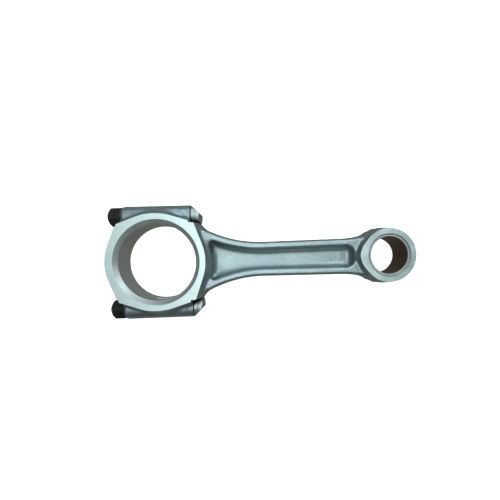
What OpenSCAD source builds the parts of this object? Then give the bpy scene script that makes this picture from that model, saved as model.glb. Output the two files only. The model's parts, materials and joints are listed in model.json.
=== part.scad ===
// Connecting rod of a small diesel engine: a forged I-section rod with a straight-split
// big end, its bolted cap, and a bronze bush pressed into the small end.
// The origin is on the big-end bore axis at mid thickness. +X runs to the small end,
// +Y across the two cap bolts and +Z along both bores. Sizes are in millimetres.

/* [Overall] */
// Distance between the two bore axes
centre_distance = 160; // [152:1:175]
// Thickness over the machined side faces
face_w = 30; // [28:0.5:32]

/* [Big end] */
// Diameter of the bearing housing bore
big_bore_d = 52.3; // [50:0.1:53]
// Diameter of the bore chamfer where it meets the side face
big_chamfer_d = 58.1; // [56:0.1:60]
// Depth of the bore chamfer
big_chamfer_h = 2.6; // [1:0.1:3]
// Diameter of the machined side face
big_face_d = 65.8; // [65:0.1:68]
// Diameter of the drafted wall at mid thickness
big_wall_d = 72; // [70:0.1:73]
// Distance from the bore axis to the centre of a rod ear's round corner
ear_reach = 34.6; // [34:0.1:35]
// The same distance for an ear of the cap, from the centre of the cap's outline
cap_ear_reach = 34; // [33.5:0.1:34.5]
// How far the centre of the cap's outline lies beyond the bore axis
cap_offset = 1.3; // [1:0.1:2]
// Radius of an ear's round corner
ear_corner_r = 2; // [1:0.1:3]
// Width of the balance pad on the crown of the cap
pad_w = 19.5; // [12:0.5:22]
// Radius of the balance pad from the bore axis
pad_r = 37.5; // [37.4:0.1:39]
// Thickness of the balance pad
pad_t = 16; // [10:0.5:18]
// Length of the shell-locating notches along the bore
notch_w = 6; // [4:0.5:8]

/* [Bolt bosses] */
// Distance between the two bolt axes
bolt_pitch = 65; // [65:0.1:66]
// Width over the two bosses
boss_span = 79.5; // [79:0.1:80]
// Thickness of a boss
boss_t = 15; // [14.5:0.5:18]
// Radius of a boss's outer edges
boss_edge_r = 7.2; // [4:0.1:7.2]
// Distance from the parting face to the bolt-head seat
head_seat = 22; // [20:0.1:24]
// Distance from the parting face to the nut seat
nut_seat = 25.7; // [24:0.1:27]
// Height of the step floor beside the bolt head
step_floor = 26.2; // [26:0.1:27]

/* [Shank] */
// Half width of the shank at its narrowest
shank_half_w = 12.4; // [11:0.1:14]
// Half width of the shank where the small-end flare starts
shank_end_half_w = 13; // [12:0.1:14]
// Thickness over the flanges
shank_t = 19; // [17:0.5:22]
// Thickness of the web
web_t = 7; // [5:0.5:10]
// Width of a flange beside the web pocket
flange_w = 5.2; // [4:0.1:6]
// Radius of the flare into the big end
big_flare_r = 86; // [80:1:100]
// Distance of the start of that flare from the big-end bore axis
big_flare_x = 72; // [70:1:80]
// Radius of the flare into the small end
small_flare_r = 56; // [50:1:70]
// Distance of the start of that flare from the small-end bore axis
small_flare_back = 31; // [30:1:36]
// Radius of the pocket's wall at the big end
pocket_wall_r = 36; // [35.6:0.1:40]
// Distance from the pocket's small-end tip to the small-end bore axis
pocket_tip_back = 23.2; // [23:0.1:27]

/* [Small end] */
// Diameter of the eye's machined side face
eye_face_d = 37.8; // [36:0.1:38]
// Diameter of the eye at mid thickness
eye_wall_d = 40.8; // [40:0.1:42]
// Angle between the rod axis and the line to each tangent point of the eye's nose
nose_angle = 39; // [36:1:44]
// Distance from the eye's bore axis to the blunt tip of its nose
nose_reach = 20.6; // [19.5:0.1:22]
// Diameter of the bore that holds the bush
housing_d = 29; // [28:0.1:29.5]
// Width of the chamfer at each end of the housing bore
housing_chamfer = 0.6; // [0.3:0.1:1]
// Bore diameter of the bush
bush_bore_d = 26; // [25:0.1:26.5]
// Distance from the side face to the end of the bush
bush_inset = 0.9; // [0.5:0.1:1.5]
// Width of the bush's bore chamfer
bush_chamfer = 0.4; // [0.2:0.1:0.6]
// Diameter of the oil hole in the crown of the eye
oil_hole_d = 4; // [3:0.5:5]

/* [Bolts and nuts] */
// Diameter of the bolt
bolt_d = 9; // [8:0.1:9.2]
// Radial clearance between the bolt and its holes
bolt_clearance = 0.08; // [0.05:0.01:0.1]
// Diameter of the bolt head
head_d = 14.4; // [14:0.1:15]
// Length of the head's round side
head_side = 5.3; // [4:0.1:5.5]
// Length of the whole head
head_h = 7.4; // [6:0.1:8]
// Diameter of the head's flat end
head_end_d = 10.6; // [8:0.1:12]
// Distance from the bolt axis to the flat that stops the head turning
head_flat = 6.2; // [6:0.1:6.3]
// Nut size across its flats
nut_af = 13; // [12.5:0.1:13.5]
// Height of a nut
nut_h = 9.2; // [7:0.1:10]
// Length of bolt beyond the nut
tip_out = 0.7; // [0.5:0.1:3]

/* [Hidden] */
$fn = 96;
cut = 0.5;
far = 60;
big_face_r = big_face_d / 2;
big_wall_r = big_wall_d / 2;
big_bore_r = big_bore_d / 2;
big_chamfer_r = big_chamfer_d / 2;
eye_face_r = eye_face_d / 2;
eye_wall_r = eye_wall_d / 2;
bush_bore_r = bush_bore_d / 2;
housing_r = housing_d / 2;
bush_len = face_w - 2 * bush_inset;
bolt_y = bolt_pitch / 2;
bolt_r = bolt_d / 2;
hole_r = bolt_r + bolt_clearance;
boss_depth = boss_span / 2;
nut_corner_r = nut_af / 2 / cos(30);
tip_x = -nut_seat - nut_h - tip_out;
small_flare_x = centre_distance - small_flare_back;
flare_end_x = centre_distance - small_flare_back * eye_wall_r / (eye_wall_r + small_flare_r);
ear_angle = 46;
pocket_corner_r = shank_end_half_w - flange_w;
pocket_tip_x = centre_distance - pocket_tip_back;
notch_cutter_r = 3.4;
notch_depth = 1.3;
steel = "silver";
bronze = "peru";
black_steel = "dimgray";

// Point at radius r and angle a
function polar(r, a) = [r * cos(a), r * sin(a)];

// Lay a shape drawn along +Z down along +X
module along_x() {
    rotate([0, 90, 0]) children();
}

// Repeat a shape on the upper and the lower side
module both_sides() {
    children();
    mirror([0, 1, 0]) children();
}

// Disc of radius r with four ears whose sides are tangent to it
module ear_outline(r, reach) {
    spread = acos((r - ear_corner_r) / reach);
    circle(r);
    for (a = [ear_angle, 180 - ear_angle, 180 + ear_angle, -ear_angle]) rotate(a) {
        polygon([[0, 0], polar(r, spread), [reach, 0] + polar(ear_corner_r, spread),
                 [reach, 0] + polar(ear_corner_r, -spread), polar(r, -spread)]);
        translate([reach, 0]) circle(ear_corner_r);
    }
}

// Disc with a drafted rim, widest at mid thickness
module drafted_disc(r_mid, r_face) {
    for (side = [0, 1]) mirror([0, 0, side])
        cylinder(h = face_w / 2, r1 = r_mid, r2 = r_face);
}

// Section of the pair of bosses, with rounded outer edges
module boss_section() {
    inner = boss_depth - boss_edge_r;
    square([boss_t, 2 * inner], center = true);
    square([boss_t - 2 * boss_edge_r, 2 * boss_depth], center = true);
    for (sx = [-1, 1], sy = [-1, 1])
        translate([sx * (boss_t / 2 - boss_edge_r), sy * inner]) circle(boss_edge_r);
}

// Big end without its bosses, with ears at the given reach
module big_end_blank(reach) {
    linear_extrude(face_w, center = true) ear_outline(big_face_r, reach);
    linear_extrude(boss_t, center = true)
        ear_outline(big_wall_r - 1, reach + big_wall_r - 1 - big_face_r);
    drafted_disc(big_wall_r, big_face_r);
}

// Stretch between the parting face and the cap's own outline
module cap_filler() {
    translate([-cap_offset, 0, 0]) along_x() linear_extrude(cap_offset)
        polygon([[-face_w / 2, big_face_r], [0, big_wall_r], [face_w / 2, big_face_r],
                 [face_w / 2, -big_face_r], [0, -big_wall_r], [-face_w / 2, -big_face_r]]);
}

// Pair of bolt bosses between two distances from the parting face
module bosses(from, to) {
    translate([from, 0, 0]) along_x() linear_extrude(to - from) boss_section();
}

// Balance pad on the crown of the cap
module balance_pad() {
    intersection() {
        cylinder(h = pad_t, r = pad_r, center = true);
        translate([-far, -pad_w / 2, -far]) cube([far, pad_w, 2 * far]);
    }
}

// Bore of the big end with its two chamfers
module big_bore() {
    cylinder(h = face_w + 2 * cut, r = big_bore_r, center = true);
    for (side = [0, 1]) mirror([0, 0, side])
        translate([0, 0, face_w / 2 - big_chamfer_h])
            cylinder(h = big_chamfer_h, r1 = big_bore_r, r2 = big_chamfer_r);
}

// Notches at the parting face that the tabs of the bearing shells sit in
module shell_notch(side) {
    translate([side * notch_cutter_r * 0.6, -big_bore_r - notch_depth + notch_cutter_r, 0])
        cylinder(h = notch_w, r = notch_cutter_r, center = true);
}

// Holes for the two cap bolts
module bolt_holes() {
    both_sides() translate([-far, bolt_y, 0]) along_x() cylinder(h = 2 * far, r = hole_r);
}

// Everything on one side of the parting face: side is 1 for the rod, -1 for the cap
module half_space(side) {
    translate([side > 0 ? 0 : -far, -far, -far]) cube([far, 2 * far, 2 * far]);
}

// Area outside the shank's flank on the upper side, moved inwards by inset
module flank_cutter(inset) {
    intersection() {
        translate([big_flare_x, shank_half_w + big_flare_r]) circle(big_flare_r + inset, $fn = 360);
        square([big_flare_x, far]);
    }
    polygon([[big_flare_x, shank_half_w - inset], [small_flare_x, shank_end_half_w - inset],
             [small_flare_x, far], [big_flare_x, far]]);
    intersection() {
        translate([small_flare_x, shank_end_half_w + small_flare_r])
            circle(small_flare_r + inset, $fn = 360);
        translate([small_flare_x, 0]) square([small_flare_back, far]);
    }
}

// Outline of the shank, from inside the big end to inside the eye
module shank_outline() {
    difference() {
        translate([big_bore_r, -step_floor])
            square([flare_end_x - big_bore_r, 2 * step_floor]);
        both_sides() flank_cutter(0);
    }
}

// Outline of the pocket between the flanges
module pocket_outline() {
    difference() {
        translate([pocket_wall_r - 4, -step_floor])
            square([pocket_tip_x - pocket_corner_r - pocket_wall_r + 4, 2 * step_floor]);
        both_sides() flank_cutter(flange_w);
        circle(pocket_wall_r);
    }
    translate([pocket_tip_x - pocket_corner_r, 0]) circle(pocket_corner_r);
}

// Shank with a pocket on each side of its web
module shank_blank() {
    difference() {
        linear_extrude(shank_t, center = true) shank_outline();
        for (side = [0, 1]) mirror([0, 0, side])
            translate([0, 0, web_t / 2]) linear_extrude(shank_t) pocket_outline();
    }
}

// Small-end eye, with a blunt nose towards the shank
module eye_blank() {
    tip_y = (eye_face_r - nose_reach * cos(nose_angle)) / sin(nose_angle);
    tangent = polar(eye_face_r, nose_angle);
    translate([centre_distance, 0, 0]) mirror([1, 0, 0]) {
        drafted_disc(eye_wall_r, eye_face_r);
        linear_extrude(face_w, center = true)
            polygon([[0, 0], tangent, [nose_reach, tip_y], [nose_reach, -tip_y],
                     [tangent[0], -tangent[1]]]);
    }
}

// Housing bore of the small end with its two chamfers
module eye_bore() {
    translate([centre_distance, 0, 0]) {
        cylinder(h = face_w + 2 * cut, r = housing_r, center = true);
        for (side = [0, 1]) mirror([0, 0, side])
            translate([0, 0, face_w / 2 - housing_chamfer])
                cylinder(h = housing_chamfer, r1 = housing_r, r2 = housing_r + housing_chamfer);
    }
}

// Oil hole from the crown of the eye into the bush
module oil_hole() {
    translate([centre_distance, 0, 0]) along_x() cylinder(h = far, r = oil_hole_d / 2);
}

// Milled step that seats a bolt head, on the upper side
module head_step() {
    translate([head_seat, step_floor, -far / 2]) cube([far / 4, far, far]);
}

// Milled step that seats a nut, on the upper side
module nut_step() {
    floor_y = bolt_y - nut_corner_r - 0.3;
    translate([-nut_seat - far / 4, floor_y, -far / 2]) cube([far / 4, far, far]);
}

// Half section of the bush
module bush_section() {
    polygon([[bush_bore_r, -bush_len / 2 + bush_chamfer], [bush_bore_r + bush_chamfer, -bush_len / 2],
             [housing_r, -bush_len / 2], [housing_r, bush_len / 2],
             [bush_bore_r + bush_chamfer, bush_len / 2], [bush_bore_r, bush_len / 2 - bush_chamfer]]);
}

// Half section of the bolt, drawn with its axis upright and its head above zero
module bolt_section() {
    under = head_seat;
    edge = 0.5;
    thread_chamfer = 1.3;
    polygon([[0, tip_x], [bolt_r - thread_chamfer, tip_x], [bolt_r, tip_x + thread_chamfer],
             [bolt_r, under], [head_d / 2 - edge, under], [head_d / 2, under + edge],
             [head_d / 2, under + head_side], [head_end_d / 2, under + head_h], [0, under + head_h]]);
}

// Cap bolt on the upper side: a flat on the head faces the rod and stops it turning,
// and the outer corner of the head is cut at a slant to clear the crankcase
module cap_bolt() {
    slant = 45;
    difference() {
        translate([0, bolt_y, 0]) along_x() rotate_extrude() bolt_section();
        translate([head_seat, bolt_y - head_flat - far, -far / 2]) cube([far, far, far]);
        translate([head_seat + 0.2, bolt_y + head_d / 2, 0]) rotate([0, 0, -slant])
            translate([-far, 0, -far / 2]) cube([2 * far, far, far]);
    }
}

// Hexagon nut on the upper side, chamfered at its outer end; turn is the angle
// of its corners about the bolt
module hex_nut(turn) {
    end_r = nut_af / 2 * 0.74;
    corner_h = nut_corner_r + cut - end_r;
    translate([-nut_seat, bolt_y, 0]) mirror([1, 0, 0]) along_x() difference() {
        intersection() {
            rotate(turn) cylinder(h = nut_h, r = nut_corner_r, $fn = 6);
            union() {
                cylinder(h = nut_h - corner_h, r = nut_corner_r + cut);
                translate([0, 0, nut_h - corner_h])
                    cylinder(h = corner_h, r1 = nut_corner_r + cut, r2 = end_r);
            }
        }
        translate([0, 0, -cut]) cylinder(h = nut_h + 2 * cut, r = hole_r);
    }
}

module rod_forging() {
    color(steel) difference() {
        union() {
            intersection() {
                big_end_blank(ear_reach);
                half_space(1);
            }
            bosses(0, head_seat);
            shank_blank();
            eye_blank();
        }
        big_bore();
        eye_bore();
        bolt_holes();
        oil_hole();
        both_sides() head_step();
        shell_notch(1);
    }
}

module bearing_cap() {
    color(steel) difference() {
        union() {
            translate([-cap_offset, 0, 0]) intersection() {
                big_end_blank(cap_ear_reach);
                half_space(-1);
            }
            cap_filler();
            bosses(-nut_seat, 0);
            balance_pad();
        }
        big_bore();
        bolt_holes();
        both_sides() nut_step();
        shell_notch(-1);
    }
}

module small_end_bush() {
    color(bronze) difference() {
        translate([centre_distance, 0, 0]) rotate_extrude() bush_section();
        oil_hole();
    }
}

module upper_bolt() {
    color(steel) cap_bolt();
}

module lower_bolt() {
    color(steel) mirror([0, 1, 0]) cap_bolt();
}

module upper_nut() {
    color(black_steel) hex_nut(10);
}

module lower_nut() {
    color(black_steel) mirror([0, 1, 0]) hex_nut(2);
}

rod_forging();
small_end_bush();
upper_bolt();
lower_bolt();
bearing_cap();
upper_nut();
lower_nut();
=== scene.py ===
"""Looks of the connecting rod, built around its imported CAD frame.

Lengths in the modelling code are millimetres in the CAD frame; mesh_object() turns them
into metres. The forged blank is a field that is negative inside the metal, meshed by
OpenVDB, and the machined surfaces are then cut from it, as they are on the real part.
"""
import json
import math

import bmesh
import bpy
import numpy as np
import openvdb
from mathutils import Matrix, Vector


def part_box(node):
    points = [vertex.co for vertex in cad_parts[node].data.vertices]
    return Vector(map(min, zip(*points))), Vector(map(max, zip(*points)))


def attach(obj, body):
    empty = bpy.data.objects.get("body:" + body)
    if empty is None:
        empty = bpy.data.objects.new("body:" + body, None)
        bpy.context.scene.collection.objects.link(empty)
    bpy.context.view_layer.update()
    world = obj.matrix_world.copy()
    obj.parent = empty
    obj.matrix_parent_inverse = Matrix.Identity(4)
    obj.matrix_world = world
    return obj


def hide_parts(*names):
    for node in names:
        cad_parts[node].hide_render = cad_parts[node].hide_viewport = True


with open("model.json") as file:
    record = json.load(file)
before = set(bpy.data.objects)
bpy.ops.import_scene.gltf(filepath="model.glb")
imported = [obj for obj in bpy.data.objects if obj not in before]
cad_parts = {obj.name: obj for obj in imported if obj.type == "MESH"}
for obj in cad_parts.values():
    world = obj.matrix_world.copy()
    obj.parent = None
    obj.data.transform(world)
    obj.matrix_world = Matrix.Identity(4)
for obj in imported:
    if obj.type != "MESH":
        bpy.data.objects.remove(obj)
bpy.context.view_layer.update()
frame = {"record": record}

MM = 0.001
SEED = 11


# ---------------------------------------------------------------- sizes from the frame

def node_box(name):
    """Lowest and highest corner of a CAD node, in millimetres."""
    low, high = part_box(name)
    return np.array(low) / MM, np.array(high) / MM


MOUNTS = {mount["name"]: mount for mount in frame["record"]["mounts"]}
ROD_HIGH = node_box("rod_forging")[1]
CAP_LOW = node_box("bearing_cap")[0]
BOLT_LOW, BOLT_HIGH = node_box("upper_bolt")
NUT_LOW, NUT_HIGH = node_box("upper_nut")
BUSH_LOW, BUSH_HIGH = node_box("small_end_bush")

FACE_Z = ROD_HIGH[2]                                     # machined side faces at +-FACE_Z
EYE_X = MOUNTS["small_end_bore"]["pos_m"][0] / MM        # small-end bore axis
BIG_BORE_R = MOUNTS["big_end_bore"]["dims"]["r_mm"]
BUSH_BORE_R = MOUNTS["small_end_bore"]["dims"]["r_mm"]
HOUSING_R = (BUSH_HIGH[1] - BUSH_LOW[1]) / 2
BUSH_HALF = BUSH_HIGH[2]
EYE_WALL_R = ROD_HIGH[0] - EYE_X                         # eye radius at mid thickness
BOSS_SIDE = ROD_HIGH[1]                                  # outer side of the bolt bosses
NUT_SEAT = -NUT_HIGH[0]
NUT_H = NUT_HIGH[0] - NUT_LOW[0]
PAD_R = -CAP_LOW[0]
HEAD_R = BOLT_HIGH[2]
BOLT_TIP = BOLT_LOW[0]
HEAD_END = BOLT_HIGH[0]

# Sizes that the frame's boxes don't give
BIG_FACE_R = 32.9
BIG_DRAFT = 0.207
BIG_CHAMFER_R = 29.05
BIG_CHAMFER_H = 2.6
EAR_REACH = 34.6
CAP_EAR_REACH = 34.0
CAP_OFFSET = 1.3
EAR_ANGLE = math.radians(46)
EAR_CORNER_R = 2.0
EYE_DRAFT = 0.1
NOSE_ANGLE = math.radians(39)
NOSE_REACH = 20.6
HOUSING_CHAMFER = 0.6
HOLE_CHAMFER = 0.5
BOLT_Y = 32.5
BOLT_R = 4.5
HOLE_R = 4.58
HEAD_SEAT = 22.0
STEP_FLOOR = 26.2
STEP_CLEARANCE = 0.6
NUT_STEP_FLOOR = BOLT_Y - HEAD_R - STEP_CLEARANCE
STEP_CORNER_R = 0.8
STEP_LENGTH = 15.0
HEAD_FLAT = 6.2
NUT_AF = 13.0
BOSS_HALF_T = 7.5
BOSS_EDGE_R = 7.2
BOSS_END_R = 2.4
PAD_HALF_W = 9.75
PAD_HALF_T = 8.0
SHANK_HALF_W = 12.4
SHANK_END_HALF_W = 13.0
SHANK_HALF_T = 9.5
SHANK_DRAFT = 0.105
WEB_HALF_T = 3.5
FLANGE_W = 5.2
BIG_FLARE_R = 86.0
BIG_FLARE_X = 72.0
SMALL_FLARE_R = 56.0
SMALL_FLARE_BACK = 31.0
SMALL_FLARE_X = EYE_X - SMALL_FLARE_BACK
FLARE_END_X = EYE_X - SMALL_FLARE_BACK * EYE_WALL_R / (EYE_WALL_R + SMALL_FLARE_R)
POCKET_WALL_R = 36.0
POCKET_SLOPE = 0.22
POCKET_END_R = 5.5
POCKET_TIP_R = 6.0
WEB_FILLET = 3.6
FLANGE_INNER_R = 1.3
FLANGE_OUTER_R = 1.6
BODY_FILLET = 3.2
BOSS_FILLET = 2.2
PAD_FILLET = 0.8
STOCK = 1.5                                              # forged metal left on for milling
STOCK_EDGE_R = 0.5
NOSE_TIP_R = 3.0
POCKET_TIP_X = EYE_X - 23.2
OIL_HOLE_R = 2.0
NOTCH_R = 3.4
NOTCH_DEPTH = 1.3
NOTCH_HALF_W = 3.0


# ---------------------------------------------------------------- mesh helpers

def mesh_object(name, points, faces):
    """A new object from points in millimetres."""
    mesh = bpy.data.meshes.new(name)
    mesh.from_pydata((np.asarray(points, float) * MM).tolist(), [], [list(f) for f in faces])
    mesh.update()
    made = bpy.data.objects.new(name, mesh)
    bpy.context.scene.collection.objects.link(made)
    return made


def block(low, high, edge=0.0):
    """A box cutter; edge is the radius of the four edges that run along Z."""
    made = bmesh.new()
    bmesh.ops.create_cube(made, size=1.0)
    size = np.array(high, float) - np.array(low, float)
    middle = (np.array(high, float) + np.array(low, float)) / 2
    for vert in made.verts:
        vert.co = Vector([vert.co[i] * size[i] + middle[i] for i in range(3)])
    if edge:
        along = [e for e in made.edges if abs(e.verts[0].co.z - e.verts[1].co.z) > 1e-6]
        bmesh.ops.bevel(made, geom=along, offset=edge, segments=5, affect="EDGES", profile=0.5)
    for vert in made.verts:
        vert.co *= MM
    mesh = bpy.data.meshes.new("block")
    made.to_mesh(mesh)
    made.free()
    box = bpy.data.objects.new("block", mesh)
    bpy.context.scene.collection.objects.link(box)
    return box


def rounded(profile, radius, steps=4):
    """A closed or open outline with its inner corners rounded to radius."""
    points = [np.array(p, float) for p in profile]
    out = [points[0]]
    for before, corner, after in zip(points, points[1:], points[2:]):
        to_before = before - corner
        to_after = after - corner
        reach = min(radius, 0.45 * np.linalg.norm(to_before), 0.45 * np.linalg.norm(to_after))
        start = corner + to_before / np.linalg.norm(to_before) * reach
        end = corner + to_after / np.linalg.norm(to_after) * reach
        for step in range(steps + 1):
            t = step / steps
            out.append((1 - t) ** 2 * start + 2 * t * (1 - t) * corner + t ** 2 * end)
    out.append(points[-1])
    return out


def lathe(name, profile, centre, axis="z", segments=96, ring=False):
    """Turns an outline of (radius, height) points about an axis through centre.
    A ring's outline is closed; any other starts and ends on the axis."""
    points = []
    rows = []
    for radius, height in profile:
        if radius < 1e-6:
            rows.append([len(points)])
            points.append((0.0, 0.0, height))
            continue
        rows.append(list(range(len(points), len(points) + segments)))
        for k in range(segments):
            angle = 2 * math.pi * k / segments
            points.append((radius * math.cos(angle), radius * math.sin(angle), height))
    pairs = list(zip(rows, rows[1:]))
    if ring:
        pairs.append((rows[-1], rows[0]))
    faces = []
    for low, high in pairs:
        for k in range(segments):
            n = (k + 1) % segments
            if len(low) == 1:
                faces.append((low[0], high[n], high[k]))
            elif len(high) == 1:
                faces.append((low[k], low[n], high[0]))
            else:
                faces.append((low[k], low[n], high[n], high[k]))
    turned = turn_points(np.array(points), axis) + np.array(centre, float)
    made = mesh_object(name, turned, faces)
    make_outward(made.data)
    return made


def turn_points(points, axis):
    """Lays points modelled about +Z along +X, or leaves them."""
    if axis == "z":
        return points
    return np.column_stack([points[:, 2], points[:, 1], -points[:, 0]])


def make_outward(mesh):
    """Turns every face outwards."""
    work = bmesh.new()
    work.from_mesh(mesh)
    bmesh.ops.recalc_face_normals(work, faces=work.faces)
    work.to_mesh(mesh)
    work.free()


def combine(target, others, operation):
    """Cuts others from target, joins them to it, or keeps what they share."""
    for other in others:
        step = target.modifiers.new("step", "BOOLEAN")
        step.operation = operation
        step.solver = "MANIFOLD"
        step.object = other
    graph = bpy.context.evaluated_depsgraph_get()
    result = bpy.data.meshes.new_from_object(target.evaluated_get(graph))
    target.modifiers.clear()
    target.data = result
    for other in others:
        bpy.data.objects.remove(other)


SHARP_ANGLE = math.radians(35)


def finish_mesh(piece):
    """Smooth shading with crisp machined edges, and no slivers."""
    work = bmesh.new()
    work.from_mesh(piece.data)
    bmesh.ops.dissolve_degenerate(work, dist=1e-6, edges=work.edges)
    for edge in work.edges:
        edge.smooth = len(edge.link_faces) == 2 and edge.calc_face_angle(0.0) < SHARP_ANGLE
    for face in work.faces:
        face.smooth = True
    work.to_mesh(piece.data)
    work.free()


def copy_of(source, name):
    """A new object with its own copy of a mesh."""
    made = bpy.data.objects.new(name, source.data.copy())
    bpy.context.scene.collection.objects.link(made)
    return made


def mirrored(piece, name):
    """A copy of a piece on the other side of the XZ plane."""
    made = copy_of(piece, name)
    made.data.transform(Matrix.Scale(-1, 4, (0, 1, 0)))
    made.data.flip_normals()
    return made


# ---------------------------------------------------------------- the forged blank

INSIDE = 20.0                                            # a place well inside the big end


def join_round(a, b, r):
    """Union of two fields with a concave fillet of radius r."""
    return np.maximum(r, np.minimum(a, b)) - np.hypot(np.maximum(r - a, 0), np.maximum(r - b, 0))


def meet_round(a, b, r):
    """Intersection of two fields with a rounded edge of radius r."""
    return np.minimum(-r, np.maximum(a, b)) + np.hypot(np.maximum(r + a, 0), np.maximum(r + b, 0))


def eared_disc(x, y, reach):
    """Distance from a disc with four ears whose sides are tangent to it."""
    disc = np.hypot(x, y) - BIG_FACE_R
    slope = (BIG_FACE_R - EAR_CORNER_R) / reach
    rise = math.sqrt(1 - slope * slope)
    along = np.abs(x) * math.cos(EAR_ANGLE) + y * math.sin(EAR_ANGLE)
    across = np.abs(y * math.cos(EAR_ANGLE) - np.abs(x) * math.sin(EAR_ANGLE))
    k = along * rise - across * slope
    tip = np.hypot(across, along - reach) - EAR_CORNER_R
    flank = across * rise + along * slope - BIG_FACE_R
    ear = np.where(k > rise * reach, tip, flank)
    ear = np.where(k < 0, disc, ear)
    return np.minimum(disc, ear)


def ear_distance(x, y):
    """Distance from the big end's outline; the cap's own outline lies a little further out."""
    cap = eared_disc(np.minimum(x + CAP_OFFSET, 0), y, CAP_EAR_REACH)
    return np.where(x < 0, cap, eared_disc(x, y, EAR_REACH))


def eye_distance(x, y, face_r):
    """Distance from the eye's outline: a disc with a blunt nose towards the shank."""
    back = EYE_X - x
    disc = np.hypot(back, y) - face_r
    flank = back * math.cos(NOSE_ANGLE) + y * math.sin(NOSE_ANGLE) - face_r
    nose = meet_round(flank, back - NOSE_REACH, NOSE_TIP_R)
    nose = np.maximum(nose, face_r * math.cos(NOSE_ANGLE) - back)
    return np.minimum(disc, nose)


def flank_y(x):
    """Half width of the shank at mid thickness, with its flare at each end."""
    big = np.sqrt(BIG_FLARE_R ** 2 - np.clip(BIG_FLARE_X - x, 0, 80) ** 2)
    small = np.sqrt(SMALL_FLARE_R ** 2 - np.clip(x - SMALL_FLARE_X, 0, 45) ** 2)
    t = np.clip((x - BIG_FLARE_X) / (SMALL_FLARE_X - BIG_FLARE_X), 0, 1)
    straight = SHANK_HALF_W + (SHANK_END_HALF_W - SHANK_HALF_W) * t
    return straight + (BIG_FLARE_R - big) + (SMALL_FLARE_R - small)


def flank_distance(x, y):
    """Distance from the shank's flank, corrected for the flank's slope."""
    slope = (flank_y(x + 0.5) - flank_y(x - 0.5))
    return (y - flank_y(x)) / np.sqrt(1 + slope ** 2)


def forging_ripple(x, y, z):
    """Shallow unevenness that a die leaves, at most about 0.08 mm."""
    draw = np.random.default_rng(SEED)
    total = 0
    for wave in (9.0, 6.0, 4.2, 3.0):
        for _ in range(3):
            turn = draw.normal(size=3)
            turn *= 2 * math.pi / wave / np.linalg.norm(turn)
            phase = draw.uniform(0, 2 * math.pi)
            total = total + np.sin(turn[0] * x + turn[1] * y + turn[2] * z + phase) * wave
    return total * 0.0016


def blank_field(x, y, z):
    """Negative inside the forging. x, y and z are arrays that broadcast, y and z not below 0."""
    big = ear_distance(x, y) - BIG_DRAFT * (FACE_Z - z)
    field = meet_round(big / math.hypot(1, BIG_DRAFT), z - FACE_Z - STOCK, STOCK_EDGE_R)

    # Bolt bosses: a bar along each bolt, round on its outer side and at the nut's end
    over = np.maximum(y - (BOSS_SIDE - BOSS_EDGE_R), 0)
    up = z - (BOSS_HALF_T - BOSS_EDGE_R)
    boss = np.hypot(over, np.maximum(up, 0)) + np.minimum(np.maximum(y - BOSS_SIDE + BOSS_EDGE_R, up), 0)
    boss = meet_round(boss - BOSS_EDGE_R, -NUT_SEAT - 0.4 - x, BOSS_END_R)
    boss = np.maximum(boss, np.maximum(x - HEAD_SEAT - STOCK, INSIDE - y))
    field = join_round(field, boss, BOSS_FILLET)

    # Shank, and the pocket between its flanges
    flank = flank_distance(x, y) + SHANK_DRAFT * z
    shank = meet_round(flank, z - SHANK_HALF_T, FLANGE_OUTER_R)
    shank = np.maximum(shank, np.maximum(INSIDE - x, x - FLARE_END_X))
    rim = flank_distance(x, y) + FLANGE_W
    wall = POCKET_WALL_R - np.hypot(x, y)
    pocket = meet_round(rim, wall, POCKET_END_R)
    pocket = meet_round(pocket, x - POCKET_TIP_X, POCKET_TIP_R)
    pocket = pocket + POCKET_SLOPE * (SHANK_HALF_T - z)
    pocket = meet_round(pocket, WEB_HALF_T - z, WEB_FILLET)
    shank = meet_round(shank, -pocket, FLANGE_INNER_R)
    field = join_round(field, shank, BODY_FILLET)

    # Small-end eye
    eye = eye_distance(x, y, EYE_WALL_R - EYE_DRAFT * FACE_Z) - EYE_DRAFT * (FACE_Z - z)
    eye = meet_round(eye / math.hypot(1, EYE_DRAFT), z - FACE_Z - STOCK, STOCK_EDGE_R)
    return join_round(field, eye, BODY_FILLET)


def pad_field(x, y, z):
    """Balance pad on the crown of the cap."""
    pad = meet_round(np.hypot(x, y) - PAD_R + 0.1, y - PAD_HALF_W - 0.06 * (PAD_HALF_T - z), 0.8)
    return np.maximum(meet_round(pad, z - PAD_HALF_T, 1.0), x + INSIDE)


def forged_blank():
    """The whole forging before it is machined or split."""
    step = 0.5
    margin = 2.0
    band = 3.0                                           # field values further out are clipped
    xs = np.arange(CAP_LOW[0] - margin, ROD_HIGH[0] + margin, step)
    ys = np.arange(0, BOSS_SIDE + margin, step)
    zs = np.arange(0, FACE_Z + margin + 0.5, step)
    x, y, z = np.meshgrid(xs, ys, zs, indexing="ij", sparse=True)
    quarter = join_round(blank_field(x, y, z), pad_field(x, y, z), PAD_FILLET)
    half = np.concatenate([quarter[:, :0:-1], quarter], axis=1)
    whole = np.concatenate([half[:, :, :0:-1], half], axis=2)
    all_y = np.concatenate([-ys[:0:-1], ys])
    all_z = np.concatenate([-zs[:0:-1], zs])
    x, y, z = np.meshgrid(xs, all_y, all_z, indexing="ij", sparse=True)
    whole = whole + forging_ripple(x, y, z)
    grid = openvdb.FloatGrid(band)
    clipped = np.clip(whole, 0.1 - band, band - 0.1)
    grid.copyFromArray(np.ascontiguousarray(clipped, dtype=np.float32))
    points, quads = grid.convertToQuads(0.0)
    points = points * step + np.array([xs[0], all_y[0], all_z[0]])
    made = mesh_object("blank", points, quads)
    make_outward(made.data)
    return made


# ---------------------------------------------------------------- machining

FAR = 70.0


def face_cutters():
    """The milling that leaves the side faces flat."""
    return [block((-FAR, -FAR, FACE_Z), (3 * FAR, FAR, FACE_Z + 9)),
            block((-FAR, -FAR, -FACE_Z - 9), (3 * FAR, FAR, -FACE_Z))]


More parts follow.
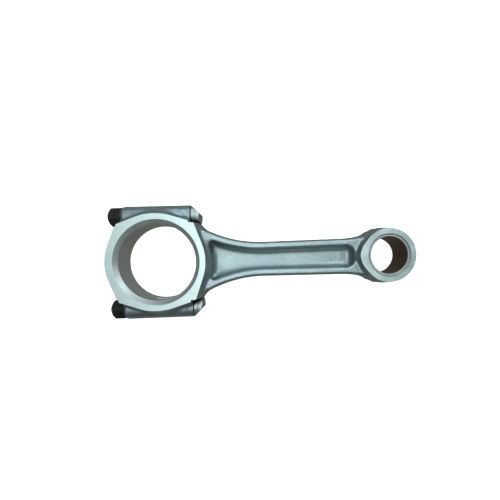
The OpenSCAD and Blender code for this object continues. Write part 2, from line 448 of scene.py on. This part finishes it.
def bore_cutter(centre, radius, chamfer_r, chamfer_h, segments):
    """A bore with a chamfer at each side face."""
    over = 2.0
    wide = chamfer_r + (chamfer_r - radius) * over / chamfer_h
    top = FACE_Z + over
    inner = FACE_Z - chamfer_h
    profile = [(0, -top), (wide, -top), (radius, -inner), (radius, inner), (wide, top), (0, top)]
    return lathe("bore", profile, centre, segments=segments)


def hole_cutter(y):
    """A bolt hole with a small chamfer at the parting face."""
    profile = [(0, -FAR), (HOLE_R, -FAR), (HOLE_R, -HOLE_CHAMFER), (HOLE_R + HOLE_CHAMFER, 0),
               (HOLE_R, HOLE_CHAMFER), (HOLE_R, FAR), (0, FAR)]
    return lathe("hole", profile, (0, y, 0), axis="x", segments=64)


def oil_hole_cutter():
    """The oil hole in the crown of the eye, countersunk outside."""
    crown = EYE_WALL_R
    profile = [(0, 0), (OIL_HOLE_R, 0), (OIL_HOLE_R, crown - 0.8),
               (OIL_HOLE_R + 1.8, crown + 1), (0, crown + 1)]
    return lathe("oil_hole", profile, (EYE_X, 0, 0), axis="x", segments=48)


def notch_cutter(side):
    """A notch at the parting face for the tab of a bearing shell."""
    profile = [(0, -NOTCH_HALF_W), (NOTCH_R, -NOTCH_HALF_W),
               (NOTCH_R, NOTCH_HALF_W), (0, NOTCH_HALF_W)]
    centre = (side * NOTCH_R * 0.6, -BIG_BORE_R - NOTCH_DEPTH + NOTCH_R, 0)
    return lathe("notch", profile, centre, segments=48)


def make_rod(blank):
    rod = copy_of(blank, "rod_forging_mesh")
    cutters = [block((-FAR, -FAR, -FAR), (0, FAR, FAR))] + face_cutters()
    cutters.append(bore_cutter((0, 0, 0), BIG_BORE_R, BIG_CHAMFER_R, BIG_CHAMFER_H, 256))
    housing_mouth = HOUSING_R + HOUSING_CHAMFER
    cutters.append(bore_cutter((EYE_X, 0, 0), HOUSING_R, housing_mouth, HOUSING_CHAMFER, 192))
    cutters.append(oil_hole_cutter())
    cutters.append(notch_cutter(1))
    for side in (1, -1):
        low, high = sorted((side * STEP_FLOOR, side * FAR))
        step_end = (HEAD_SEAT + STEP_LENGTH, high, FAR)
        cutters.append(block((HEAD_SEAT, low, -FAR), step_end, STEP_CORNER_R))
        cutters.append(hole_cutter(side * BOLT_Y))
    combine(rod, cutters, "DIFFERENCE")
    return rod


def make_cap(blank):
    cap = copy_of(blank, "bearing_cap_mesh")
    cutters = [block((0, -FAR, -FAR), (4 * FAR, FAR, FAR))] + face_cutters()
    cutters.append(bore_cutter((0, 0, 0), BIG_BORE_R, BIG_CHAMFER_R, BIG_CHAMFER_H, 256))
    cutters.append(notch_cutter(-1))
    for side in (1, -1):
        low, high = sorted((side * NUT_STEP_FLOOR, side * FAR))
        step_start = (-NUT_SEAT - STEP_LENGTH, low, -FAR)
        cutters.append(block(step_start, (-NUT_SEAT, high, FAR), STEP_CORNER_R))
        cutters.append(hole_cutter(side * BOLT_Y))
    combine(cap, cutters, "DIFFERENCE")
    return cap


# ---------------------------------------------------------------- bush, bolts and nuts

THREAD_PITCH = 1.0
THREAD_DEPTH = 0.5


def grid_lathe(name, heights, radius_at, segments, axis_shift):
    """A closed solid about X whose radius also depends on the angle, for threads."""
    angles = np.arange(segments) * 2 * math.pi / segments
    points = []
    for height in heights:
        radius = radius_at(height, angles)
        points += list(zip(radius * np.cos(angles), radius * np.sin(angles), [height] * segments))
    rows = len(heights)
    faces = []
    for row in range(rows - 1):
        for k in range(segments):
            n = (k + 1) % segments
            faces.append((row * segments + k, row * segments + n,
                          (row + 1) * segments + n, (row + 1) * segments + k))
    for row, height in ((0, heights[0]), (rows - 1, heights[-1])):
        centre = len(points)
        points.append((0.0, 0.0, height))
        first = row * segments
        faces += [(first + k, first + (k + 1) % segments, centre) for k in range(segments)]
    turned = turn_points(np.array(points), "x") + np.array(axis_shift, float)
    made = mesh_object(name, turned, faces)
    make_outward(made.data)
    return made


def thread_wave(height, angles):
    """0 at a thread's crest and 1 at its root, along a helix."""
    phase = (height / THREAD_PITCH - angles / (2 * math.pi)) % 1.0
    return np.clip(1.35 - np.abs(phase - 0.5) * 3.4, 0, 1)


def make_bolt(name):
    """Cap bolt on the upper side: round head, reduced shank, fitted band and thread."""
    thread_end = BOLT_TIP + 15.0
    tip_bevel = 1.3
    side_end = HEAD_SEAT + 5.3
    groove = HEAD_SEAT + 3.3
    head = [(0, HEAD_SEAT - 1.4), (BOLT_R, HEAD_SEAT - 1.4), (BOLT_R, HEAD_SEAT - 0.3),
            (BOLT_R + 0.6, HEAD_SEAT), (HEAD_R - 0.7, HEAD_SEAT), (HEAD_R - 0.65, HEAD_SEAT + 0.5),
            (HEAD_R - 0.1, HEAD_SEAT + 0.6), (HEAD_R, HEAD_SEAT + 0.9), (HEAD_R, groove - 0.25),
            (HEAD_R - 0.22, groove), (HEAD_R - 0.05, groove + 0.25), (HEAD_R - 0.05, side_end)]
    end_r = HEAD_END - side_end
    for step in range(1, 7):
        turn = math.radians(15 * step)
        head.append((HEAD_R - 0.05 - end_r * (1 - math.cos(turn)), side_end + end_r * math.sin(turn)))
    head += [(3.5, HEAD_END), (2.5, HEAD_END - 0.25), (0, HEAD_END - 0.3)]
    bolt = lathe(name, rounded(head, 0.3), (0, BOLT_Y, 0), axis="x", segments=96)

    def shank_radius(height, angles):
        threaded = BOLT_R - THREAD_DEPTH * thread_wave(height, angles)
        if height < thread_end:
            fade = min(1.0, (thread_end - height) / THREAD_PITCH)
            radius = BOLT_R - (BOLT_R - threaded) * fade
        elif height < thread_end + 4 or 3 < height < HEAD_SEAT - 4:
            radius = np.full_like(angles, BOLT_R - 0.35)
        else:
            radius = np.full_like(angles, BOLT_R)
        return np.minimum(radius, BOLT_R - tip_bevel + (height - BOLT_TIP))

    fine = np.arange(BOLT_TIP, thread_end, THREAD_PITCH / 10)
    coarse = [thread_end, thread_end + 0.01, thread_end + 3.99, thread_end + 4.3, 2.7, 3.01,
              HEAD_SEAT - 4.01, HEAD_SEAT - 3.7, HEAD_SEAT - 1.0]
    heights = sorted(list(fine) + coarse)
    shank = grid_lathe("shank", heights, shank_radius, 72, (0, BOLT_Y, 0))
    combine(bolt, [shank], "UNION")
    flat = block((HEAD_SEAT, BOLT_Y - HEAD_FLAT - 9, -FAR), (HEAD_END + 9, BOLT_Y - HEAD_FLAT, FAR))
    slant = block((-FAR, 0, -FAR), (FAR, 20, FAR))
    slant.data.transform(Matrix.Translation(Vector((HEAD_SEAT + 0.2, BOLT_Y + HEAD_R, 0)) * MM)
                         @ Matrix.Rotation(math.radians(-45), 4, "Z"))
    combine(bolt, [flat, slant], "DIFFERENCE")
    return bolt


def make_nut(name, turn):
    """Hexagon nut on the upper side, with its corners turned about the bolt."""
    corner_r = NUT_AF / 2 / math.cos(math.radians(30))
    seat = -NUT_SEAT
    end = -NUT_SEAT - NUT_H
    hexagon = bmesh.new()
    ring = [(corner_r * math.cos(turn + k * math.pi / 3), corner_r * math.sin(turn + k * math.pi / 3))
            for k in range(6)]
    low = [hexagon.verts.new((seat, BOLT_Y + u, v)) for u, v in ring]
    high = [hexagon.verts.new((end, BOLT_Y + u, v)) for u, v in ring]
    hexagon.faces.new(low)
    hexagon.faces.new(high[::-1])
    for k in range(6):
        n = (k + 1) % 6
        hexagon.faces.new((low[k], high[k], high[n], low[n]))
    long_edges = [e for e in hexagon.edges if abs(e.verts[0].co.x - e.verts[1].co.x) > 1]
    bmesh.ops.bevel(hexagon, geom=long_edges, offset=0.45, segments=4, affect="EDGES", profile=0.5)
    bmesh.ops.recalc_face_normals(hexagon, faces=hexagon.faces)
    for vert in hexagon.verts:
        vert.co *= MM
    mesh = bpy.data.meshes.new(name)
    hexagon.to_mesh(mesh)
    hexagon.free()
    nut = bpy.data.objects.new(name, mesh)
    bpy.context.scene.collection.objects.link(nut)
    wide = corner_r + 0.5
    end_r = 0.74 * NUT_AF / 2
    trim = [(0, seat + 1), (6.35, seat + 1), (6.35, seat - 0.25), (wide, seat - 1.1),
            (wide, end + wide - end_r), (end_r + 0.25, end + 0.25), (end_r - 0.35, end), (0, end)]
    combine(nut, [lathe("trim", trim, (0, BOLT_Y, 0), axis="x", segments=128)], "INTERSECT")

    def bore_radius(height, angles):
        mouth = max(0.0, 0.8 - min(seat - height, height - end))
        return np.full_like(angles, BOLT_R + 0.06 + mouth) + 0.3 * (1 - thread_wave(height, angles))

    heights = np.arange(end - 1.0, seat + 1.0, THREAD_PITCH / 10)
    combine(nut, [grid_lathe("bore", heights, bore_radius, 72, (0, BOLT_Y, 0))], "DIFFERENCE")
    return nut


def make_bush():
    """Bronze bush with chamfered ends and an oil hole."""
    ends = BUSH_HALF
    profile = [(BUSH_BORE_R, -ends + 0.4), (BUSH_BORE_R + 0.4, -ends), (HOUSING_R - 0.35, -ends),
               (HOUSING_R, -ends + 0.5), (HOUSING_R, ends - 0.5), (HOUSING_R - 0.35, ends),
               (BUSH_BORE_R + 0.4, ends), (BUSH_BORE_R, ends - 0.4)]
    bush = lathe("small_end_bush_mesh", profile, (EYE_X, 0, 0), segments=192, ring=True)
    hole = [(0, 0), (OIL_HOLE_R, 0), (OIL_HOLE_R, 20), (0, 20)]
    combine(bush, [lathe("hole", hole, (EYE_X, 0, 0), axis="x", segments=48)], "DIFFERENCE")
    return bush


blank = forged_blank()
rod = make_rod(blank)
cap = make_cap(blank)
bpy.data.objects.remove(blank)
bush = make_bush()
upper_bolt = make_bolt("upper_bolt_mesh")
lower_bolt = mirrored(upper_bolt, "lower_bolt_mesh")
upper_nut = make_nut("upper_nut_mesh", math.radians(-20))
lower_nut = mirrored(make_nut("nut_pattern", math.radians(-28)), "lower_nut_mesh")
bpy.data.objects.remove(bpy.data.objects["nut_pattern"])


# ---------------------------------------------------------------- materials

class Shader:
    """A node material with one Principled surface. Scales are features per metre."""

    def __init__(self, name, metallic, roughness, specular=0.5):
        self.material = bpy.data.materials.new(name)
        self.material.use_nodes = True
        self.tree = self.material.node_tree
        self.surface = self.tree.nodes["Principled BSDF"]
        self.surface.inputs["Metallic"].default_value = metallic
        self.surface.inputs["Roughness"].default_value = roughness
        self.surface.inputs["Specular IOR Level"].default_value = specular
        self.place = self.add("ShaderNodeTexCoord").outputs["Object"]

    def add(self, kind, **settings):
        node = self.tree.nodes.new(kind)
        for key, value in settings.items():
            setattr(node, key, value)
        return node

    def link(self, source, target):
        self.tree.links.new(source, target)

    def stretched(self, scale, turn=0.0):
        """Object coordinates scaled apart in each direction."""
        mapping = self.add("ShaderNodeMapping")
        mapping.inputs["Rotation"].default_value = (0, 0, turn)
        mapping.inputs["Scale"].default_value = scale
        self.link(self.place, mapping.inputs["Vector"])
        return mapping.outputs[0]

    def noise(self, vector, scale, detail):
        node = self.add("ShaderNodeTexNoise")
        node.inputs["Scale"].default_value = scale
        node.inputs["Detail"].default_value = detail
        node.inputs["Roughness"].default_value = 0.55
        self.link(vector, node.inputs["Vector"])
        return node.outputs["Fac"]

    def cells(self, vector, scale):
        node = self.add("ShaderNodeTexVoronoi")
        node.inputs["Scale"].default_value = scale
        self.link(vector, node.inputs["Vector"])
        return node.outputs["Distance"]

    def spread(self, value, low, high, out_low=0.0, out_high=1.0):
        """Stretches low..high to out_low..out_high."""
        node = self.add("ShaderNodeMapRange")
        self.link(value, node.inputs["Value"])
        numbers = {"From Min": low, "From Max": high, "To Min": out_low, "To Max": out_high}
        for key, number in numbers.items():
            node.inputs[key].default_value = number
        return node.outputs[0]

    def mix(self, factor, first, second):
        node = self.add("ShaderNodeMix", data_type="RGBA")
        self.link(factor, node.inputs["Factor"])
        for index, value in ((6, first), (7, second)):
            if isinstance(value, tuple):
                node.inputs[index].default_value = (*value, 1.0)
            else:
                self.link(value, node.inputs[index])
        return node.outputs[2]

    def corners(self, radius, low, high):
        """1 on edges that a hand or a tool would rub, 0 elsewhere."""
        bevel = self.add("ShaderNodeBevel", samples=4)
        bevel.inputs["Radius"].default_value = radius * MM
        geometry = self.add("ShaderNodeNewGeometry")
        dot = self.add("ShaderNodeVectorMath", operation="DOT_PRODUCT")
        self.link(bevel.outputs[0], dot.inputs[0])
        self.link(geometry.outputs["Normal"], dot.inputs[1])
        return self.spread(dot.outputs["Value"], high, low)

    def shade_from_occlusion(self, distance):
        """1 in open places and less in narrow ones, for painted shade in recesses and gaps."""
        node = self.add("ShaderNodeAmbientOcclusion", samples=6)
        node.inputs["Distance"].default_value = distance * MM
        return node.outputs["AO"]

    def bump(self, height, distance, strength, after=None):
        """Relief of a depth in millimetres, laid over an earlier relief if there is one."""
        node = self.add("ShaderNodeBump")
        node.inputs["Strength"].default_value = strength
        node.inputs["Distance"].default_value = distance * MM
        self.link(height, node.inputs["Height"])
        if after is not None:
            self.link(after, node.inputs["Normal"])
        return node.outputs[0]

    def finish(self, color, roughness, normal):
        self.link(color, self.surface.inputs["Base Color"])
        self.link(roughness, self.surface.inputs["Roughness"])
        self.link(normal, self.surface.inputs["Normal"])
        return self.material


def forged_steel():
    """Shot-blasted forging: fine dimples, mottled grey, painted shade darkening the corners."""
    s = Shader("forged_steel", metallic=0.85, roughness=0.55)
    grain = s.noise(s.place, 1500, 3.0)
    dimples = s.cells(s.place, 900)
    patches = s.noise(s.place, 90, 4.0)
    specks = s.spread(s.noise(s.place, 700, 2.0), 0.30, 0.42)
    # painted shade: occlusion darkens recesses, corners and gaps towards near black
    painted_shade = s.spread(s.shade_from_occlusion(10.0), 0.42, 0.88)
    color = s.mix(s.spread(patches, 0.35, 0.65), (0.44, 0.55, 0.575), (0.56, 0.69, 0.72))
    color = s.mix(s.spread(grain, 0.35, 0.7), (0.33, 0.41, 0.43), color)
    color = s.mix(specks, (0.31, 0.38, 0.40), color)
    color = s.mix(painted_shade, (0.02, 0.024, 0.024), color)
    rough = s.spread(grain, 0.3, 0.7, 0.36, 0.46)
    normal = s.bump(dimples, 0.09, 0.7)
    normal = s.bump(grain, 0.05, 0.6, normal)
    return s.finish(color, rough, normal)


def milled_steel():
    """Flat-milled faces: bright, faintly clouded, with fine lines and small pits."""
    s = Shader("milled_steel", metallic=0.9, roughness=0.4)
    lines = s.noise(s.stretched((60, 2600, 400), turn=0.5), 1.0, 2.0)
    clouds = s.noise(s.place, 130, 4.0)
    pits = s.spread(s.cells(s.place, 260), 0.03, 0.10)
    color = s.mix(s.spread(clouds, 0.35, 0.65), (0.60, 0.71, 0.71), (0.78, 0.905, 0.90))
    color = s.mix(s.spread(lines, 0.3, 0.7), (0.58, 0.70, 0.70), color)
    color = s.mix(pits, (0.40, 0.50, 0.50), color)
    rough = s.spread(clouds, 0.3, 0.7, 0.34, 0.5)
    normal = s.bump(lines, 0.012, 0.5)
    normal = s.bump(pits, 0.03, 0.6, normal)
    return s.finish(color, rough, normal)


def bored_steel():
    """Bored and honed surfaces, with fine marks round each bore."""
    s = Shader("bored_steel", metallic=0.8, roughness=0.45)
    marks = s.noise(s.stretched((25, 25, 3000)), 1.0, 2.0)
    stain = s.noise(s.place, 70, 3.0)
    color = s.mix(s.spread(stain, 0.35, 0.65), (0.66, 0.70, 0.69), (0.80, 0.86, 0.87))
    color = s.mix(s.spread(marks, 0.3, 0.7), (0.56, 0.61, 0.61), color)
    rough = s.spread(marks, 0.3, 0.7, 0.38, 0.52)
    return s.finish(color, rough, s.bump(marks, 0.008, 0.5))


def bush_bronze():
    """Oiled bearing bronze, dark in the bore."""
    s = Shader("bush_bronze", metallic=0.9, roughness=0.35)
    marks = s.noise(s.stretched((30, 30, 2400)), 1.0, 2.0)
    stain = s.noise(s.place, 160, 4.0)
    color = s.mix(s.spread(stain, 0.35, 0.65), (0.13, 0.095, 0.06), (0.21, 0.16, 0.105))
    color = s.mix(s.spread(marks, 0.35, 0.65), (0.11, 0.08, 0.05), color)
    color = s.mix(s.corners(0.35, 0.90, 0.995), color, (0.46, 0.44, 0.36))
    rough = s.spread(stain, 0.3, 0.7, 0.28, 0.45)
    return s.finish(color, rough, s.bump(marks, 0.008, 0.5))


def bolt_steel():
    """Bare bolt steel: mottled tone, rubbed edges, and painted shade in narrow places."""
    s = Shader("bolt_steel", metallic=0.9, roughness=0.42)
    grain = s.noise(s.place, 900, 3.0)
    turning = s.noise(s.stretched((2200, 60, 60)), 1.0, 2.0)
    stain = s.noise(s.place, 230, 3.0)
    color = s.mix(s.spread(stain, 0.35, 0.65), (0.44, 0.51, 0.52), (0.66, 0.76, 0.78))
    color = s.mix(s.spread(grain, 0.3, 0.6), (0.33, 0.36, 0.35), color)
    color = s.mix(s.corners(0.3, 0.9, 0.99), color, (0.72, 0.8, 0.8))
    # painted shade: occlusion darkens the bolt towards near black where it sits close to the rod
    color = s.mix(s.spread(s.shade_from_occlusion(7.0), 0.45, 0.85), (0.012, 0.013, 0.013), color)
    rough = s.spread(grain, 0.3, 0.7, 0.36, 0.52)
    normal = s.bump(turning, 0.015, 0.4)
    normal = s.bump(grain, 0.03, 0.4, normal)
    return s.finish(color, rough, normal)


def black_oxide():
    """Oiled black oxide, rubbed thin on the nut's corners."""
    s = Shader("black_oxide", metallic=0.4, roughness=0.45)
    grain = s.noise(s.place, 1200, 3.0)
    stain = s.noise(s.place, 260, 3.0)
    color = s.mix(s.spread(stain, 0.35, 0.65), (0.014, 0.015, 0.015), (0.038, 0.039, 0.036))
    color = s.mix(s.corners(0.35, 0.9, 0.995), color, (0.10, 0.10, 0.095))
    rough = s.spread(grain, 0.3, 0.7, 0.36, 0.56)
    return s.finish(color, rough, s.bump(grain, 0.02, 0.5))


FORGED, MILLED, BORED = 0, 1, 2
NEAR = 0.02


def paint_machined(piece, finishes, is_cap):
    """Gives each face of the rod or cap the finish of the tool that made it."""
    piece.data.materials.clear()
    for material in finishes:
        piece.data.materials.append(material)
    for face in piece.data.polygons:
        x, y, z = face.center / MM
        ny, nz = face.normal.yz
        side_y = abs(y)
        eye_r = math.hypot(x - EYE_X, y)
        hole_r = math.hypot(side_y - BOLT_Y, z)
        oil_r = math.hypot(y, z)
        faces_bolt = ny * (y - math.copysign(BOLT_Y, y)) + nz * z < 0
        faces_oil_axis = ny * y + nz * z < -0.3 * oil_r
        finish = FORGED
        if abs(z) > FACE_Z - NEAR / 2:
            finish = MILLED
        elif math.hypot(x, y) < BIG_CHAMFER_R + NEAR or eye_r < HOUSING_R + HOUSING_CHAMFER + NEAR:
            finish = BORED
        elif hole_r < HOLE_R + HOLE_CHAMFER + NEAR and faces_bolt:
            finish = BORED
        elif oil_r < OIL_HOLE_R + 1.4 and x > EYE_X and faces_oil_axis:
            finish = BORED
        elif abs(x) < NEAR / 2:
            finish = MILLED
        elif not is_cap and x > HEAD_SEAT - NEAR and side_y > STEP_FLOOR - NEAR:
            finish = MILLED
        elif is_cap and x < -NUT_SEAT + NEAR and side_y > NUT_STEP_FLOOR - NEAR:
            finish = MILLED
        face.material_index = finish


steel_finishes = [forged_steel(), milled_steel(), bored_steel()]
paint_machined(rod, steel_finishes, False)
paint_machined(cap, steel_finishes, True)
bare_bolt = bolt_steel()
black = black_oxide()
for piece, material in ((bush, bush_bronze()), (upper_bolt, bare_bolt), (lower_bolt, bare_bolt),
                        (upper_nut, black), (lower_nut, black)):
    piece.data.materials.clear()
    piece.data.materials.append(material)
bush.data.materials.append(steel_finishes[BORED])            # the ends show the bush's steel back
for face in bush.data.polygons:
    face.material_index = 1 if abs(face.center.z) > (BUSH_HALF - 0.6) * MM else 0


# ---------------------------------------------------------------- bodies and frame

PIECES = [
    (rod, "rod", "rod_forging", "forged_steel"),
    (cap, "cap", "bearing_cap", "forged_steel"),
    (bush, "rod", "small_end_bush", "bronze"),
    (upper_bolt, "rod", "upper_bolt", "bolt_steel"),
    (lower_bolt, "rod", "lower_bolt", "bolt_steel"),
    (upper_nut, "nut_up", "upper_nut", "black_oxide"),
    (lower_nut, "nut_low", "lower_nut", "black_oxide"),
]
for piece, body, node, slot in PIECES:
    finish_mesh(piece)
    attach(piece, body)
    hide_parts(node)


# ---------------------------------------------------------------- floor, light, camera

def floor_material():
    """Plain white paper, bright enough to lose its soft shadows."""
    s = Shader("floor", metallic=0.0, roughness=0.9, specular=0.0)
    fibre = s.noise(s.place, 300, 3.0)
    color = s.mix(s.spread(fibre, 0.3, 0.7), (0.93, 0.93, 0.93), (0.96, 0.96, 0.96))
    s.surface.inputs["Emission Color"].default_value = (1.0, 1.0, 1.0, 1.0)
    s.surface.inputs["Emission Strength"].default_value = 1.0
    s.link(color, s.surface.inputs["Base Color"])
    return s.material


def make_floor():
    """White paper sheet that sweeps up all round, far behind the part."""
    height = -FACE_Z - 0.05
    profile = [(0, height), (2400, height), (2800, height + 120),
               (3000, height + 500), (3100, height + 2600)]
    floor = lathe("floor", profile, (0, 0, 0), segments=64)
    floor.data.materials.append(floor_material())
    for face in floor.data.polygons:
        face.use_smooth = True
    floor.visible_glossy = False
    floor.visible_diffuse = False
    floor.visible_shadow = False


# Panels on a dome over the part: tilt from overhead, turn from +X, size in metres, brightness, color
DOME_CENTRE = Vector((70.0, 0.0, 0.0))
DOME_R = 800.0
LIGHTS = [
    ("overhead", 4, 100, (0.34, 0.34), 1.8, (0.93, 1.0, 1.0)),
    ("ceiling", 6, 200, (1.0, 0.7), 1.22, (0.91, 1.0, 1.0)),
    ("window", 50, 45, (0.34, 0.34), 5.6, (0.86, 0.97, 1.0)),
    ("side", 52, 95, (0.34, 0.34), 3.2, (0.80, 0.94, 1.0)),
]


def area_light(name, tilt, turn, size, brightness, color):
    """A soft rectangular panel on the dome, facing the part."""
    data = bpy.data.lights.new(name, "AREA")
    data.shape = "RECTANGLE"
    data.size, data.size_y = size
    data.energy = brightness * math.pi * size[0] * size[1]
    data.color = color
    tilt, turn = math.radians(tilt), math.radians(turn)
    towards = Vector((math.sin(tilt) * math.cos(turn), math.sin(tilt) * math.sin(turn), math.cos(tilt)))
    lamp = bpy.data.objects.new(name, data)
    lamp.location = (DOME_CENTRE + towards * DOME_R) * MM
    lamp.rotation_euler = (-towards).to_track_quat("-Z", "Y").to_euler()
    bpy.context.scene.collection.objects.link(lamp)


def make_world():
    """Dark surroundings with a dull glow from below the horizon, as a table gives."""
    world = bpy.data.worlds.new("studio")
    world.use_nodes = True
    tree = world.node_tree
    background = tree.nodes["Background"]
    coord = tree.nodes.new("ShaderNodeTexCoord")
    split = tree.nodes.new("ShaderNodeSeparateXYZ")
    height = tree.nodes.new("ShaderNodeMapRange")
    ramp = tree.nodes.new("ShaderNodeValToRGB")
    height.inputs["From Min"].default_value = -1.0
    tree.links.new(coord.outputs["Generated"], split.inputs[0])
    tree.links.new(split.outputs["Z"], height.inputs["Value"])
    tree.links.new(height.outputs[0], ramp.inputs[0])
    stops = ramp.color_ramp.elements
    stops[0].color = (0.13, 0.12, 0.10, 1)
    stops[1].color = (0.02, 0.022, 0.024, 1)
    for place, color in ((0.35, (0.24, 0.225, 0.20, 1)), (0.52, (0.05, 0.048, 0.045, 1))):
        stops.new(place).color = color
    tree.links.new(ramp.outputs[0], background.inputs[0])
    bpy.context.scene.world = world


def make_camera():
    data = bpy.data.cameras.new("camera")
    data.lens = 25.41
    data.sensor_width = 36.0
    data.shift_x = -0.0418
    data.shift_y = 0.0294
    data.clip_start = 0.01
    data.clip_end = 20.0
    camera = bpy.data.objects.new("camera", data)
    camera.location = Vector((65.8, 1.5, 240.4 + FACE_Z)) * MM
    camera.rotation_euler = [math.radians(a) for a in (-1.25, -2.74, -1.77)]
    bpy.context.scene.collection.objects.link(camera)
    bpy.context.scene.camera = camera


make_floor()
make_world()
for name, tilt, turn, size, brightness, color in LIGHTS:
    area_light(name, tilt, turn, size, brightness, color)
make_camera()
bpy.context.scene.view_settings.view_transform = "Standard"
